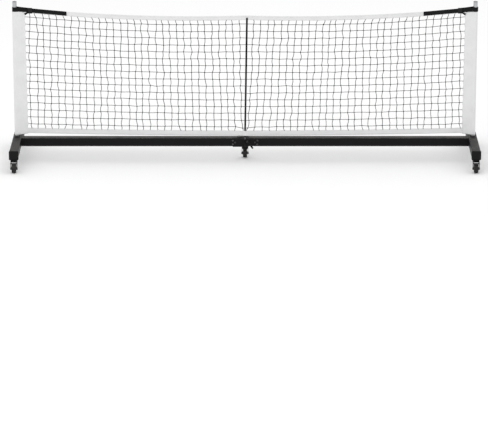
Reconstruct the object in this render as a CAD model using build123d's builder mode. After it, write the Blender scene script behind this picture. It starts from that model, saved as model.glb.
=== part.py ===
"""Portable pickleball net on a wheeled steel base that folds in half at its centre.

+X runs along the net, +Y goes back from its front face and +Z is up. The origin is on the floor,
midway between the posts. Every length is in millimetres.
"""

import os

from build123d import *

os.makedirs("parts", exist_ok=True)

# Driving dimensions of the whole net
POST_SPACING = 2670
POST_NET_HEIGHT = 914
CENTRE_NET_HEIGHT = 864
LEG_LENGTH = 600
CASTER_HEIGHT = 80

# Base tube: a square steel section shared by the bar and the legs
TUBE = 50
TUBE_WALL = 1.5
TUBE_CORNER = 4
BAR_BOTTOM = CASTER_HEIGHT
BAR_TOP = BAR_BOTTOM + TUBE
BAR_MIDDLE = BAR_BOTTOM + TUBE / 2
POST_X = POST_SPACING / 2
LEG_INNER = POST_X - TUBE / 2
HALF_GAP = 0.4

# Corner brackets: folded sheet angles bolted to the bar's back and the leg's inner side
BRACKET_SHEET = 3
BRACKET_LENGTH = 60
BRACKET_HEIGHT = 38
BRACKET_BOLT_START = 38
BRACKET_BOLT_SPREAD = 18

# Leg end caps: a plug with a lip that covers the tube's rim
CAP_FACE = 3
CAP_LIP = 2.5
CAP_LIP_LENGTH = 11
CAP_PLUG_LENGTH = 16
LEG_TUBE_LENGTH = LEG_LENGTH - 2 * CAP_FACE

# Posts and the collars that hold them in the legs
POST_RADIUS = 12.5
POST_WALL = 1.2
POST_TOP = 948
GROOVE_WIDTH = 2
GROOVE_DEPTH = 0.5
COLLAR_RADIUS = 16
COLLAR_HEIGHT = 12
COLLAR_FLANGE = 3
COLLAR_INSERT = 14.5
COLLAR_FLOOR = 4
COLLAR_FIT = 0.1
SOCKET_FLOOR = BAR_BOTTOM + TUBE_WALL
POST_BOTTOM = SOCKET_FLOOR + COLLAR_FLOOR
POST_CAP_FACE = 3
POST_CAP_PLUG = 15
POST_CAP_FIT = 0.05

# Fold hinge on the front face of the bar
HINGE_Y = -TUBE / 2 - 5.5
KNUCKLE_RADIUS = 5
KNUCKLE_HEIGHT = 7.6
KNUCKLE_GAP = 0.4
KNUCKLE_COUNT = 5
LEAF_THICKNESS = 3
LEAF_START = 5.8
LEAF_LENGTH = 80
PIN_RADIUS = 2.45
PIN_BORE = 2.5
LEAF_FRONT = -TUBE / 2 - LEAF_THICKNESS
LEAF_BOLTS = ((58, BAR_MIDDLE), (72, BAR_MIDDLE - 11), (72, BAR_MIDDLE + 11))
PIN_HEAD_HEIGHT = 2.2

# Cam lever that locks the hinge
LEVER_PIVOT_X = 14
LEVER_PIVOT_Z = 112
LEVER_TIP_X = 44
LEVER_TIP_Z = 73
LEVER_FRONT = LEAF_FRONT - 10
LEVER_THICKNESS = 5
LEVER_LOBE = 8.2
LEVER_WIDTH = 9
LEVER_BORE = 3.05
LEVER_PIN = 3
LEVER_PIN_HEAD = 4.8
LEVER_PIN_HEAD_HEIGHT = 1.6
LEVER_PIN_PLAY = 0.4

# Centre rod, its foot and the fabric pocket that takes its head
ROD_RADIUS = 5.5
ROD_LEAN = 0.9
ROD_TOP = 850
ROD_FOOT_RADIUS = 8
ROD_FOOT_HEIGHT = 24
ROD_WALL = 1.5
ROD_PLATE = 3
ROD_PLATE_TOP = BAR_TOP + ROD_PLATE
ROD_PLATE_LENGTH = 44
ROD_PLATE_WIDTH = 26
ROD_PLATE_X = -23
ROD_PLATE_BOLT_X = -32
ROD_SEAT_LENGTH = 40
ROD_SEAT_WIDTH = 24
ROD_SEAT_X = 3
ROD_SEAT_LIFT = 0.7
ROD_FOOT_BOLTS = (-13.8, 13.8)
POCKET_LEFT = -11
POCKET_RIGHT = 33
POCKET_BOTTOM = 838
POCKET_DEPTH = 16

# Casters: swivel fork, wheel on an axle and, at the four ends, a brake pedal
CASTER_Y = 271
TRAIL = 22
WHEEL_RADIUS = 26
TYRE_WIDTH = 24
HUB_WIDTH = 31
FORK_WIDTH = 38
FORK_SHEET = 3
CROWN_TOP = 73.7
CROWN_BOTTOM = 62
CUP_BOTTOM = 74
CUP_RADIUS = 14.5
KINGPIN_RADIUS = 4
STEM_RADIUS = 5
STEM_HOLE = STEM_RADIUS + 0.3
AXLE_RADIUS = 3.95
AXLE_BORE = 4
BRAKE_T = 24
BRAKE_Z = 57.2
BRAKE_PIN = 2
BRAKE_BORE = 2.05
BRAKE_BOSS = 3
TOE_WIDTH = 40
KINGPIN_HEAD = 7
KINGPIN_HEAD_HEIGHT = 3
SWIVEL_PLAY = 0.3
STEM_LENGTH = 20
STEM_NUT = 8
STEM_NUT_HEIGHT = 7
HUB_RADIUS = 9
AXLE_NUT = 6.5
AXLE_NUT_HEIGHT = 2.6
CHEEK_REAR = 12
CHEEK_FRONT = 31.5
CHEEK_LOW = WHEEL_RADIUS - 9
CROWN_REAR = -17
CROWN_FRONT = 20
CENTRE_PLATE_BOTTOM = 76
CENTRE_PLATE_LENGTH = 72
CENTRE_PLATE_WIDTH = 44
CENTRE_PLATE_X = -36.5
CENTRE_SEAT_X = 2
CENTRE_SEAT_SIZE = 40
CENTRE_SEAT_LIFT = 0.6
CASTER_PLATE_BOLTS = (-58, -38)

# Button-head bolts
BOLT_RADIUS = 3
BOLT_HOLE = 3.2
BOLT_HEAD = 5.5
BOLT_HEAD_HEIGHT = 3.2
BOLT_LENGTH = 9
BOLT_HEAD_TAPER = 18
BOLT_SOCKET = 2

# Net, tapes and straps
TAPE_HEIGHT = 27
TAPE_THICKNESS = 4
FOOT_TAPE_HEIGHT = 31
SIDE_TAPE_BOTTOM = 148
SIDE_TAPE_TOP = 887.5
SIDE_TAPE_INNER = 1272
SLEEVE_RADIUS = 15
SLEEVE_BORE = POST_RADIUS + 0.4
TWINE = 2
MESH_ROWS = 16
MESH_COLUMNS = 31
MESH_PITCH = 40.9
FIRST_COLUMN = 25
FIRST_ROW_DROP = 51.5
STRAP_WIDTH = 25
STRAP_THICKNESS = 2.5
STRAP_INNER = 1028
STRAP_BACK = -3.5
BUCKLE_X = 1245
BUCKLE_LENGTH = 24
BUCKLE_MARGIN = 8
BUCKLE_THICKNESS = 4
NET_FIT = 0.3
PANEL_END = SIDE_TAPE_INNER - 0.5

SIDES = (("left", -1), ("right", 1))


def tape_top(x):
    """Height of the top tape's upper edge, which sags from the posts towards the middle."""
    return 860 + 50 * (abs(x) / 1000 - 0.298) ** 2


def foot_tape_bottom(x):
    """Height of the bottom tape's lower edge, which rises towards the posts."""
    return 139 + 10.4 * (x / 1000) ** 2


def row_height(row, x):
    """Height of one horizontal mesh line, spread evenly between the first and the last."""
    first = tape_top(x) - FIRST_ROW_DROP
    last = 192 + 12 * (x / 1000) ** 2
    return first + (last - first) * row / (MESH_ROWS - 1)


def strap_top(x):
    """Height of the tension strap's upper edge, straight from its sewn end up to the post."""
    rise = (POST_NET_HEIGHT - tape_top(STRAP_INNER)) / (POST_X - POST_RADIUS - STRAP_INNER)
    return min(POST_NET_HEIGHT, tape_top(STRAP_INNER) + rise * (abs(x) - STRAP_INNER))


def save(piece, name):
    """Label a finished piece and write its STEP file."""
    piece.part.label = name
    export_step(piece.part, f"parts/{name}.step")


def tube_section(size=TUBE, wall=TUBE_WALL):
    """Sketch the hollow square section of the base tube."""
    RectangleRounded(size, size, TUBE_CORNER)
    RectangleRounded(size - 2 * wall, size - 2 * wall, TUBE_CORNER - wall, mode=Mode.SUBTRACT)


def curved_strip(x0, x1, lower, upper):
    """Sketch a strip whose lower and upper edges are arcs through the heights that two functions give."""
    middle = (x0 + x1) / 2
    with BuildLine() as outline:
        ThreePointArc((x0, lower(x0)), (middle, lower(middle)), (x1, lower(x1)))
        Line((x1, lower(x1)), (x1, upper(x1)))
        ThreePointArc((x1, upper(x1)), (middle, upper(middle)), (x0, upper(x0)))
        Line((x0, upper(x0)), (x0, lower(x0)))
    make_face(outline.edges())


# ---------------------------------------------------------------- bolts

def front_seat(x, z):
    """Plane of a bolt seat that faces forwards on a hinge leaf."""
    return Plane(origin=(x, LEAF_FRONT, z), x_dir=(1, 0, 0), z_dir=(0, -1, 0))


def bracket_seats(sign):
    """Bolt seats of the corner bracket: two on the bar's back and two on the leg's inner side."""
    seats = []
    for step in (-0.5, 0.5):
        along = BRACKET_BOLT_START + step * BRACKET_BOLT_SPREAD
        on_bar = (sign * (LEG_INNER - along), TUBE / 2 + BRACKET_SHEET, BAR_MIDDLE)
        on_leg = (sign * (LEG_INNER - BRACKET_SHEET), TUBE / 2 + along, BAR_MIDDLE)
        seats.append(Plane(origin=on_bar, x_dir=(1, 0, 0), z_dir=(0, 1, 0)))
        seats.append(Plane(origin=on_leg, x_dir=(0, 1, 0), z_dir=(-sign, 0, 0)))
    return seats


def bolt_seats(sign):
    """Every bolt seat on one half of the base."""
    seats = [front_seat(sign * x, z) for x, z in LEAF_BOLTS]
    seats += bracket_seats(sign)
    if sign < 0:
        for x in CASTER_PLATE_BOLTS:
            seats.append(Plane(origin=(x, 0, CENTRE_PLATE_BOTTOM), z_dir=(0, 0, -1)))
        seats.append(Plane(origin=(ROD_PLATE_BOLT_X, 0, ROD_PLATE_TOP), z_dir=(0, 0, 1)))
    return seats


def drill(seats):
    """Cut the clearance holes of some bolts."""
    for seat in seats:
        with BuildSketch(seat) as hole:
            Circle(BOLT_HOLE)
        extrude(hole.sketch, amount=-BOLT_LENGTH - 1, mode=Mode.SUBTRACT)


def add_bolts(seats, length):
    """Add button-head bolts with a hexagon socket."""
    for seat in seats:
        with BuildSketch(seat) as head:
            Circle(BOLT_HEAD)
        extrude(head.sketch, amount=BOLT_HEAD_HEIGHT, taper=BOLT_HEAD_TAPER)
        with BuildSketch(seat.offset(BOLT_HEAD_HEIGHT)) as socket:
            RegularPolygon(BOLT_SOCKET, 6)
        extrude(socket.sketch, amount=-BOLT_HEAD_HEIGHT / 2, mode=Mode.SUBTRACT)
        with BuildSketch(seat) as shank:
            Circle(BOLT_RADIUS)
        extrude(shank.sketch, amount=-length)


# ---------------------------------------------------------------- base frame, one half at a time

for side, sign in SIDES:
    with BuildPart() as base_bar:
        with BuildSketch(Plane(origin=(sign * HALF_GAP, 0, BAR_MIDDLE), x_dir=(0, 1, 0), z_dir=(sign, 0, 0))):
            tube_section()
        extrude(amount=LEG_INNER - HALF_GAP)
        drill(bolt_seats(sign))
    save(base_bar, f"{side}_base_bar")

    with BuildPart() as leg:
        with BuildSketch(Plane(origin=(sign * POST_X, -LEG_TUBE_LENGTH / 2, BAR_MIDDLE), z_dir=(0, 1, 0))):
            tube_section()
        extrude(amount=LEG_TUBE_LENGTH)
        with BuildSketch(Plane.XY.offset(BAR_TOP + 1)):
            with Locations((sign * POST_X, 0)):
                Circle(COLLAR_INSERT + COLLAR_FIT)
        extrude(amount=-TUBE / 2, mode=Mode.SUBTRACT)
        with BuildSketch(Plane.XY.offset(BAR_BOTTOM - 1)):
            with Locations((sign * POST_X, CASTER_Y), (sign * POST_X, -CASTER_Y)):
                Circle(STEM_HOLE)
        extrude(amount=TUBE / 2, mode=Mode.SUBTRACT)
        drill(bracket_seats(sign))
    save(leg, f"{side}_leg")

    with BuildPart() as leg_caps:
        for end in (-1, 1):
            face = Plane(origin=(sign * POST_X, end * LEG_LENGTH / 2, BAR_MIDDLE), z_dir=(0, end, 0))
            with BuildSketch(face):
                RectangleRounded(TUBE + 2 * CAP_LIP, TUBE + 2 * CAP_LIP, TUBE_CORNER + CAP_LIP)
            extrude(amount=-CAP_FACE - CAP_LIP_LENGTH)
            with BuildSketch(face.offset(-CAP_FACE)):
                RectangleRounded(TUBE + 0.2, TUBE + 0.2, TUBE_CORNER)
            extrude(amount=-CAP_LIP_LENGTH, mode=Mode.SUBTRACT)
            with BuildSketch(face.offset(-CAP_FACE)):
                tube_section(TUBE - 2 * TUBE_WALL - 0.4, 2)
            extrude(amount=-CAP_PLUG_LENGTH)
        outer_faces = leg_caps.faces().filter_by(Axis.Y)
        fillet(outer_faces.sort_by(Axis.Y)[0].edges() + outer_faces.sort_by(Axis.Y)[-1].edges(), 2)
    save(leg_caps, f"{side}_leg_caps")

    with BuildPart() as corner_bracket:
        corner = (sign * LEG_INNER, TUBE / 2)
        with BuildSketch(Plane.XY.offset(BAR_MIDDLE - BRACKET_HEIGHT / 2)):
            with BuildLine():
                Polyline(
                    corner,
                    (corner[0] - sign * BRACKET_LENGTH, corner[1]),
                    (corner[0] - sign * BRACKET_LENGTH, corner[1] + BRACKET_SHEET),
                    (corner[0] - sign * BRACKET_SHEET, corner[1] + BRACKET_SHEET),
                    (corner[0] - sign * BRACKET_SHEET, corner[1] + BRACKET_LENGTH),
                    (corner[0], corner[1] + BRACKET_LENGTH),
                    close=True,
                )
            make_face()
        extrude(amount=BRACKET_HEIGHT)
        drill(bracket_seats(sign))
    save(corner_bracket, f"{side}_corner_bracket")

    with BuildPart() as post_collar:
        with BuildSketch(Plane.XY.offset(SOCKET_FLOOR)):
            with Locations((sign * POST_X, 0)):
                Circle(COLLAR_INSERT)
        extrude(amount=BAR_TOP - SOCKET_FLOOR)
        with BuildSketch(Plane.XY.offset(BAR_TOP)):
            with Locations((sign * POST_X, 0)):
                Circle(COLLAR_RADIUS + 1)
        extrude(amount=COLLAR_FLANGE)
        with BuildSketch(Plane.XY.offset(BAR_TOP)):
            with Locations((sign * POST_X, 0)):
                Circle(COLLAR_RADIUS)
        extrude(amount=COLLAR_HEIGHT)
        chamfer(post_collar.faces().sort_by(Axis.Z)[-1].edges(), 1)
        with BuildSketch(Plane.XY.offset(POST_BOTTOM)):
            with Locations((sign * POST_X, 0)):
                Circle(POST_RADIUS + COLLAR_FIT)
        extrude(amount=TUBE + COLLAR_HEIGHT, mode=Mode.SUBTRACT)
    save(post_collar, f"{side}_post_collar")

    with BuildPart() as post:
        with BuildSketch(Plane.XY.offset(POST_BOTTOM)):
            with Locations((sign * POST_X, 0)):
                Circle(POST_RADIUS)
                Circle(POST_RADIUS - POST_WALL, mode=Mode.SUBTRACT)
        extrude(amount=POST_TOP - POST_CAP_FACE - POST_BOTTOM)
        with BuildSketch(Plane.XY.offset(POST_NET_HEIGHT + 1)):
            with Locations((sign * POST_X, 0)):
                Circle(POST_RADIUS + 1)
                Circle(POST_RADIUS - GROOVE_DEPTH, mode=Mode.SUBTRACT)
        extrude(amount=GROOVE_WIDTH, mode=Mode.SUBTRACT)
    save(post, f"{side}_post")

    with BuildPart() as post_cap:
        with BuildSketch(Plane.XY.offset(POST_TOP - POST_CAP_FACE)):
            with Locations((sign * POST_X, 0)):
                Circle(POST_RADIUS)
        extrude(amount=POST_CAP_FACE)
        chamfer(post_cap.faces().sort_by(Axis.Z)[-1].edges(), 1)
        with BuildSketch(Plane.XY.offset(POST_TOP - POST_CAP_FACE)):
            with Locations((sign * POST_X, 0)):
                Circle(POST_RADIUS - POST_WALL - POST_CAP_FIT)
        extrude(amount=-POST_CAP_PLUG)
    save(post_cap, f"{side}_post_cap")

    with BuildPart() as bolts:
        add_bolts([front_seat(sign * x, z) for x, z in LEAF_BOLTS] + bracket_seats(sign), BOLT_LENGTH)
        if sign < 0:
            add_bolts(bolt_seats(sign)[-3:], BOLT_LENGTH)
            add_bolts([Plane(origin=(x, 0, ROD_PLATE_TOP)) for x in ROD_FOOT_BOLTS], ROD_PLATE - 1)
    save(bolts, f"{side}_bolts")


# ---------------------------------------------------------------- fold hinge and its lock

for side, sign in SIDES:
    leaf_bottom = BAR_MIDDLE - (KNUCKLE_COUNT * KNUCKLE_HEIGHT + (KNUCKLE_COUNT - 1) * KNUCKLE_GAP) / 2
    leaf_height = 2 * (BAR_MIDDLE - leaf_bottom)
    with BuildPart() as hinge_leaf:
        with BuildSketch(Plane(origin=(0, -TUBE / 2, 0), x_dir=(1, 0, 0), z_dir=(0, -1, 0))):
            with Locations((sign * (LEAF_START + LEAF_LENGTH) / 2, BAR_MIDDLE)):
                RectangleRounded(LEAF_LENGTH - LEAF_START, leaf_height, 2)
        extrude(amount=LEAF_THICKNESS)
        for knuckle in range(0 if sign < 0 else 1, KNUCKLE_COUNT, 2):
            with BuildSketch(Plane.XY.offset(leaf_bottom + knuckle * (KNUCKLE_HEIGHT + KNUCKLE_GAP))):
                with Locations((0, HINGE_Y)):
                    Circle(KNUCKLE_RADIUS)
                with Locations((sign * LEAF_START, HINGE_Y + KNUCKLE_RADIUS - LEAF_THICKNESS / 2 + 0.25)):
                    Rectangle(2 * LEAF_START, LEAF_THICKNESS - 0.5)
            extrude(amount=KNUCKLE_HEIGHT)
        with BuildSketch(Plane.XY.offset(leaf_bottom)):
            with Locations((0, HINGE_Y)):
                Circle(PIN_BORE)
        extrude(amount=leaf_height, mode=Mode.SUBTRACT)
        drill([front_seat(sign * x, z) for x, z in LEAF_BOLTS])
        if sign > 0:
            with BuildSketch(front_seat(LEVER_PIVOT_X, LEVER_PIVOT_Z)):
                Circle(LEVER_PIN)
            extrude(amount=-LEAF_THICKNESS, mode=Mode.SUBTRACT)
    save(hinge_leaf, f"hinge_leaf_{side}")

with BuildPart() as hinge_pin:
    with BuildSketch(Plane.XY.offset(leaf_bottom)):
        with Locations((0, HINGE_Y)):
            Circle(PIN_RADIUS)
    extrude(amount=leaf_height)
    for level, way in ((leaf_bottom, -1), (leaf_bottom + leaf_height, 1)):
        with BuildSketch(Plane(origin=(0, HINGE_Y, level), z_dir=(0, 0, way))):
            Circle(KNUCKLE_RADIUS - 0.5)
        extrude(amount=PIN_HEAD_HEIGHT, taper=BOLT_HEAD_TAPER)
save(hinge_pin, "hinge_pin")

with BuildPart() as lever_pivot:
    with BuildSketch(Plane(origin=(LEVER_PIVOT_X, -TUBE / 2, LEVER_PIVOT_Z), z_dir=(0, -1, 0))):
        Circle(LEVER_PIN)
    extrude(amount=-TUBE / 2 - LEVER_FRONT + LEVER_PIN_PLAY)
    pin_front = (LEVER_PIVOT_X, LEVER_FRONT - LEVER_PIN_PLAY, LEVER_PIVOT_Z)
    with BuildSketch(Plane(origin=pin_front, z_dir=(0, -1, 0))):
        Circle(LEVER_PIN_HEAD)
    extrude(amount=LEVER_PIN_HEAD_HEIGHT)
save(lever_pivot, "lever_pivot")

with BuildPart() as lock_lever:
    lever_plane = Plane(origin=(0, LEVER_FRONT, 0), x_dir=(1, 0, 0), z_dir=(0, -1, 0))
    with BuildSketch(lever_plane):
        with Locations((LEVER_PIVOT_X, LEVER_PIVOT_Z)):
            Circle(LEVER_LOBE)
    extrude(amount=-LEVER_THICKNESS)
    with BuildSketch(lever_plane):
        middle = ((LEVER_PIVOT_X + LEVER_TIP_X) / 2, (LEVER_PIVOT_Z + LEVER_TIP_Z) / 2)
        SlotCenterPoint(middle, (LEVER_TIP_X, LEVER_TIP_Z), LEVER_WIDTH)
    extrude(amount=-LEVER_THICKNESS)
    with BuildSketch(lever_plane):
        with Locations((LEVER_PIVOT_X, LEVER_PIVOT_Z)):
            Circle(LEVER_BORE)
    extrude(amount=-LEVER_THICKNESS, mode=Mode.SUBTRACT)
save(lock_lever, "lock_lever")


# ---------------------------------------------------------------- centre rod

with BuildPart() as centre_rod_foot:
    with BuildSketch(Plane.XY.offset(BAR_TOP)):
        with Locations((ROD_PLATE_X, 0)):
            RectangleRounded(ROD_PLATE_LENGTH, ROD_PLATE_WIDTH, 3)
    extrude(amount=ROD_PLATE)
    with BuildSketch(Plane.XY.offset(BAR_TOP + ROD_SEAT_LIFT)):
        with Locations((ROD_SEAT_X, 0)):
            RectangleRounded(ROD_SEAT_LENGTH, ROD_SEAT_WIDTH, 5)
    extrude(amount=ROD_PLATE - ROD_SEAT_LIFT)
    with BuildSketch(Plane.XY.offset(ROD_PLATE_TOP)):
        Circle(ROD_FOOT_RADIUS)
    extrude(amount=ROD_FOOT_HEIGHT)
    rod_base = Plane(origin=(0, 0, ROD_PLATE_TOP)).rotated((0, ROD_LEAN, 0))
    with BuildSketch(rod_base):
        Circle(ROD_RADIUS)
    extrude(amount=ROD_FOOT_HEIGHT + 5, mode=Mode.SUBTRACT)
    drill([Plane(origin=(ROD_PLATE_BOLT_X, 0, ROD_PLATE_TOP))])
    with BuildSketch(Plane.XY.offset(ROD_PLATE_TOP)):
        with Locations(*[(x, 0) for x in ROD_FOOT_BOLTS]):
            Circle(BOLT_RADIUS)
    extrude(amount=1 - ROD_PLATE, mode=Mode.SUBTRACT)
save(centre_rod_foot, "centre_rod_foot")

with BuildPart() as centre_rod:
    with BuildSketch(rod_base):
        Circle(ROD_RADIUS)
        Circle(ROD_RADIUS - ROD_WALL, mode=Mode.SUBTRACT)
    extrude(amount=ROD_TOP - ROD_PLATE_TOP)
save(centre_rod, "centre_rod")

with BuildPart() as rod_pocket:
    with BuildSketch(Plane.XY.offset(POCKET_BOTTOM)):
        with Locations(((POCKET_LEFT + POCKET_RIGHT) / 2, 0)):
            RectangleRounded(POCKET_RIGHT - POCKET_LEFT, POCKET_DEPTH, 6)
    extrude(amount=CENTRE_NET_HEIGHT - POCKET_BOTTOM)
    with BuildSketch(rod_base):
        Circle(ROD_RADIUS + 0.4)
    extrude(amount=ROD_TOP - ROD_PLATE_TOP + 1, mode=Mode.SUBTRACT)
save(rod_pocket, "rod_pocket")


# ---------------------------------------------------------------- casters

CASTERS = (
    ("front_left", -POST_X, -CASTER_Y, -1, BAR_BOTTOM),
    ("rear_left", -POST_X, CASTER_Y, 1, BAR_BOTTOM),
    ("centre", 0, 0, 1, CENTRE_PLATE_BOTTOM),
    ("front_right", POST_X, -CASTER_Y, -1, BAR_BOTTOM),
    ("rear_right", POST_X, CASTER_Y, 1, BAR_BOTTOM),
)

for side, sign in SIDES:
    with BuildPart() as caster_stems:
        for name, x, y, way, seat in CASTERS:
            if (x > 0) != (sign > 0):
                continue
            with BuildSketch(Plane.XY.offset(CUP_BOTTOM)):
                with Locations((x, y)):
                    Circle(CUP_RADIUS)
            extrude(amount=seat - CUP_BOTTOM)
            with BuildSketch(Plane.XY.offset(CUP_BOTTOM)):
                with Locations((x, y)):
                    Circle(KINGPIN_RADIUS)
            extrude(amount=CROWN_BOTTOM + SWIVEL_PLAY - CUP_BOTTOM)
            with BuildSketch(Plane.XY.offset(CROWN_BOTTOM + SWIVEL_PLAY)):
                with Locations((x, y)):
                    Circle(KINGPIN_HEAD)
            extrude(amount=KINGPIN_HEAD_HEIGHT)
            if x != 0:
                with BuildSketch(Plane.XY.offset(seat)):
                    with Locations((x, y)):
                        Circle(STEM_RADIUS)
                extrude(amount=STEM_LENGTH)
                with BuildSketch(Plane.XY.offset(SOCKET_FLOOR)):
                    with Locations((x, y)):
                        RegularPolygon(STEM_NUT, 6)
                extrude(amount=STEM_NUT_HEIGHT)
    save(caster_stems, f"{side}_caster_stems")

with BuildPart() as centre_caster_plate:
    with BuildSketch(Plane.XY.offset(CENTRE_PLATE_BOTTOM)):
        with Locations((CENTRE_PLATE_X, 0)):
            RectangleRounded(CENTRE_PLATE_LENGTH, CENTRE_PLATE_WIDTH, 4)
    extrude(amount=BAR_BOTTOM - CENTRE_PLATE_BOTTOM)
    with BuildSketch(Plane.XY.offset(CENTRE_PLATE_BOTTOM)):
        with Locations((CENTRE_SEAT_X, 0)):
            RectangleRounded(CENTRE_SEAT_SIZE, CENTRE_SEAT_SIZE, 8)
    extrude(amount=BAR_BOTTOM - CENTRE_PLATE_BOTTOM - CENTRE_SEAT_LIFT)
    drill([Plane(origin=(x, 0, CENTRE_PLATE_BOTTOM), z_dir=(0, 0, -1)) for x in CASTER_PLATE_BOLTS])
save(centre_caster_plate, "centre_caster_plate")

for name, x, y, way, seat in CASTERS:
    wheel_side = Plane(origin=(x, y, 0), x_dir=(0, way, 0), z_dir=(way, 0, 0))

    with BuildPart() as fork:
        for cheek in (-1, 1):
            with BuildSketch(wheel_side.offset(cheek * (FORK_WIDTH - FORK_SHEET) / 2)):
                with BuildLine():
                    Polyline(
                        (CHEEK_REAR, WHEEL_RADIUS),
                        (CROWN_REAR, CROWN_BOTTOM),
                        (CROWN_REAR, CROWN_TOP),
                        (CROWN_FRONT, CROWN_TOP),
                        (CHEEK_FRONT, CROWN_BOTTOM),
                        (CHEEK_FRONT, WHEEL_RADIUS),
                    )
                    ThreePointArc((CHEEK_FRONT, WHEEL_RADIUS), (TRAIL, CHEEK_LOW), (CHEEK_REAR, WHEEL_RADIUS))
                make_face()
            extrude(amount=FORK_SHEET / 2, both=True)
        with BuildSketch(Plane.XY.offset(CROWN_BOTTOM)):
            with Locations((x, y + way * (CROWN_FRONT + CROWN_REAR) / 2)):
                RectangleRounded(FORK_WIDTH, CROWN_FRONT - CROWN_REAR, 6)
        extrude(amount=CROWN_TOP - CROWN_BOTTOM)
        with BuildSketch(Plane.XY.offset(CROWN_BOTTOM)):
            with Locations((x, y)):
                Circle(KINGPIN_RADIUS + SWIVEL_PLAY)
        extrude(amount=CROWN_TOP - CROWN_BOTTOM, mode=Mode.SUBTRACT)
        with BuildSketch(Plane.XY.offset(CROWN_BOTTOM)):
            with Locations((x, y)):
                Circle(KINGPIN_HEAD + SWIVEL_PLAY)
        extrude(amount=KINGPIN_HEAD_HEIGHT + 2 * SWIVEL_PLAY, mode=Mode.SUBTRACT)
        with BuildSketch(wheel_side):
            with Locations((TRAIL, WHEEL_RADIUS)):
                Circle(AXLE_BORE)
            if name != "centre":
                with Locations((BRAKE_T, BRAKE_Z)):
                    Circle(BRAKE_BORE)
        extrude(amount=FORK_WIDTH, both=True, mode=Mode.SUBTRACT)
    save(fork, f"{name}_fork")

    with BuildPart() as axle:
        with BuildSketch(wheel_side):
            with Locations((TRAIL, WHEEL_RADIUS)):
                Circle(AXLE_RADIUS)
        extrude(amount=FORK_WIDTH / 2, both=True)
        for cheek in (-1, 1):
            with BuildSketch(wheel_side.offset(cheek * FORK_WIDTH / 2)):
                with Locations((TRAIL, WHEEL_RADIUS)):
                    RegularPolygon(AXLE_NUT, 6)
            extrude(amount=cheek * AXLE_NUT_HEIGHT)
    save(axle, f"{name}_axle")

    with BuildPart() as wheel:
        with BuildSketch(wheel_side):
            with Locations((TRAIL, WHEEL_RADIUS)):
                Circle(WHEEL_RADIUS)
        extrude(amount=TYRE_WIDTH / 2, both=True)
        fillet(wheel.edges().filter_by(GeomType.CIRCLE), 4)
        with BuildSketch(wheel_side):
            with Locations((TRAIL, WHEEL_RADIUS)):
                Circle(HUB_RADIUS)
        extrude(amount=HUB_WIDTH / 2, both=True)
        with BuildSketch(wheel_side):
            with Locations((TRAIL, WHEEL_RADIUS)):
                Circle(AXLE_BORE)
        extrude(amount=HUB_WIDTH, both=True, mode=Mode.SUBTRACT)
    save(wheel, f"{name}_wheel")

    if name == "centre":
        continue
    with BuildPart() as brake:
        with BuildSketch(wheel_side):
            with Locations((BRAKE_T, BRAKE_Z)):
                Circle(BRAKE_BOSS)
        extrude(amount=HUB_WIDTH / 2, both=True)
        with BuildSketch(wheel_side):
            with Locations((BRAKE_T, BRAKE_Z)):
                Circle(BRAKE_PIN)
        extrude(amount=FORK_WIDTH / 2, both=True)
        with BuildSketch(wheel_side):
            with BuildLine():
                Polyline(
                    (BRAKE_T, BRAKE_Z - 2),
                    (29, 54),
                    (34, 54),
                    (36, 56),
                    (50, 60),
                    (49, 64),
                    (38, 61),
                    (BRAKE_T, BRAKE_Z + 2.5),
                    close=True,
                )
            make_face()
        extrude(amount=TYRE_WIDTH / 2, both=True)
        with BuildSketch(wheel_side):
            with BuildLine():
                Polyline((38, 56.6), (51, 60.3), (50, 64.3), (38, 61), close=True)
            make_face()
        extrude(amount=TOE_WIDTH / 2, both=True)
    save(brake, f"{name}_brake_pedal")


# ---------------------------------------------------------------- net, tapes and straps

TAPE_START = {"left": -POCKET_LEFT + NET_FIT, "right": POCKET_RIGHT + NET_FIT}
ROW_START = {"left": 8, "right": 20}

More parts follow.
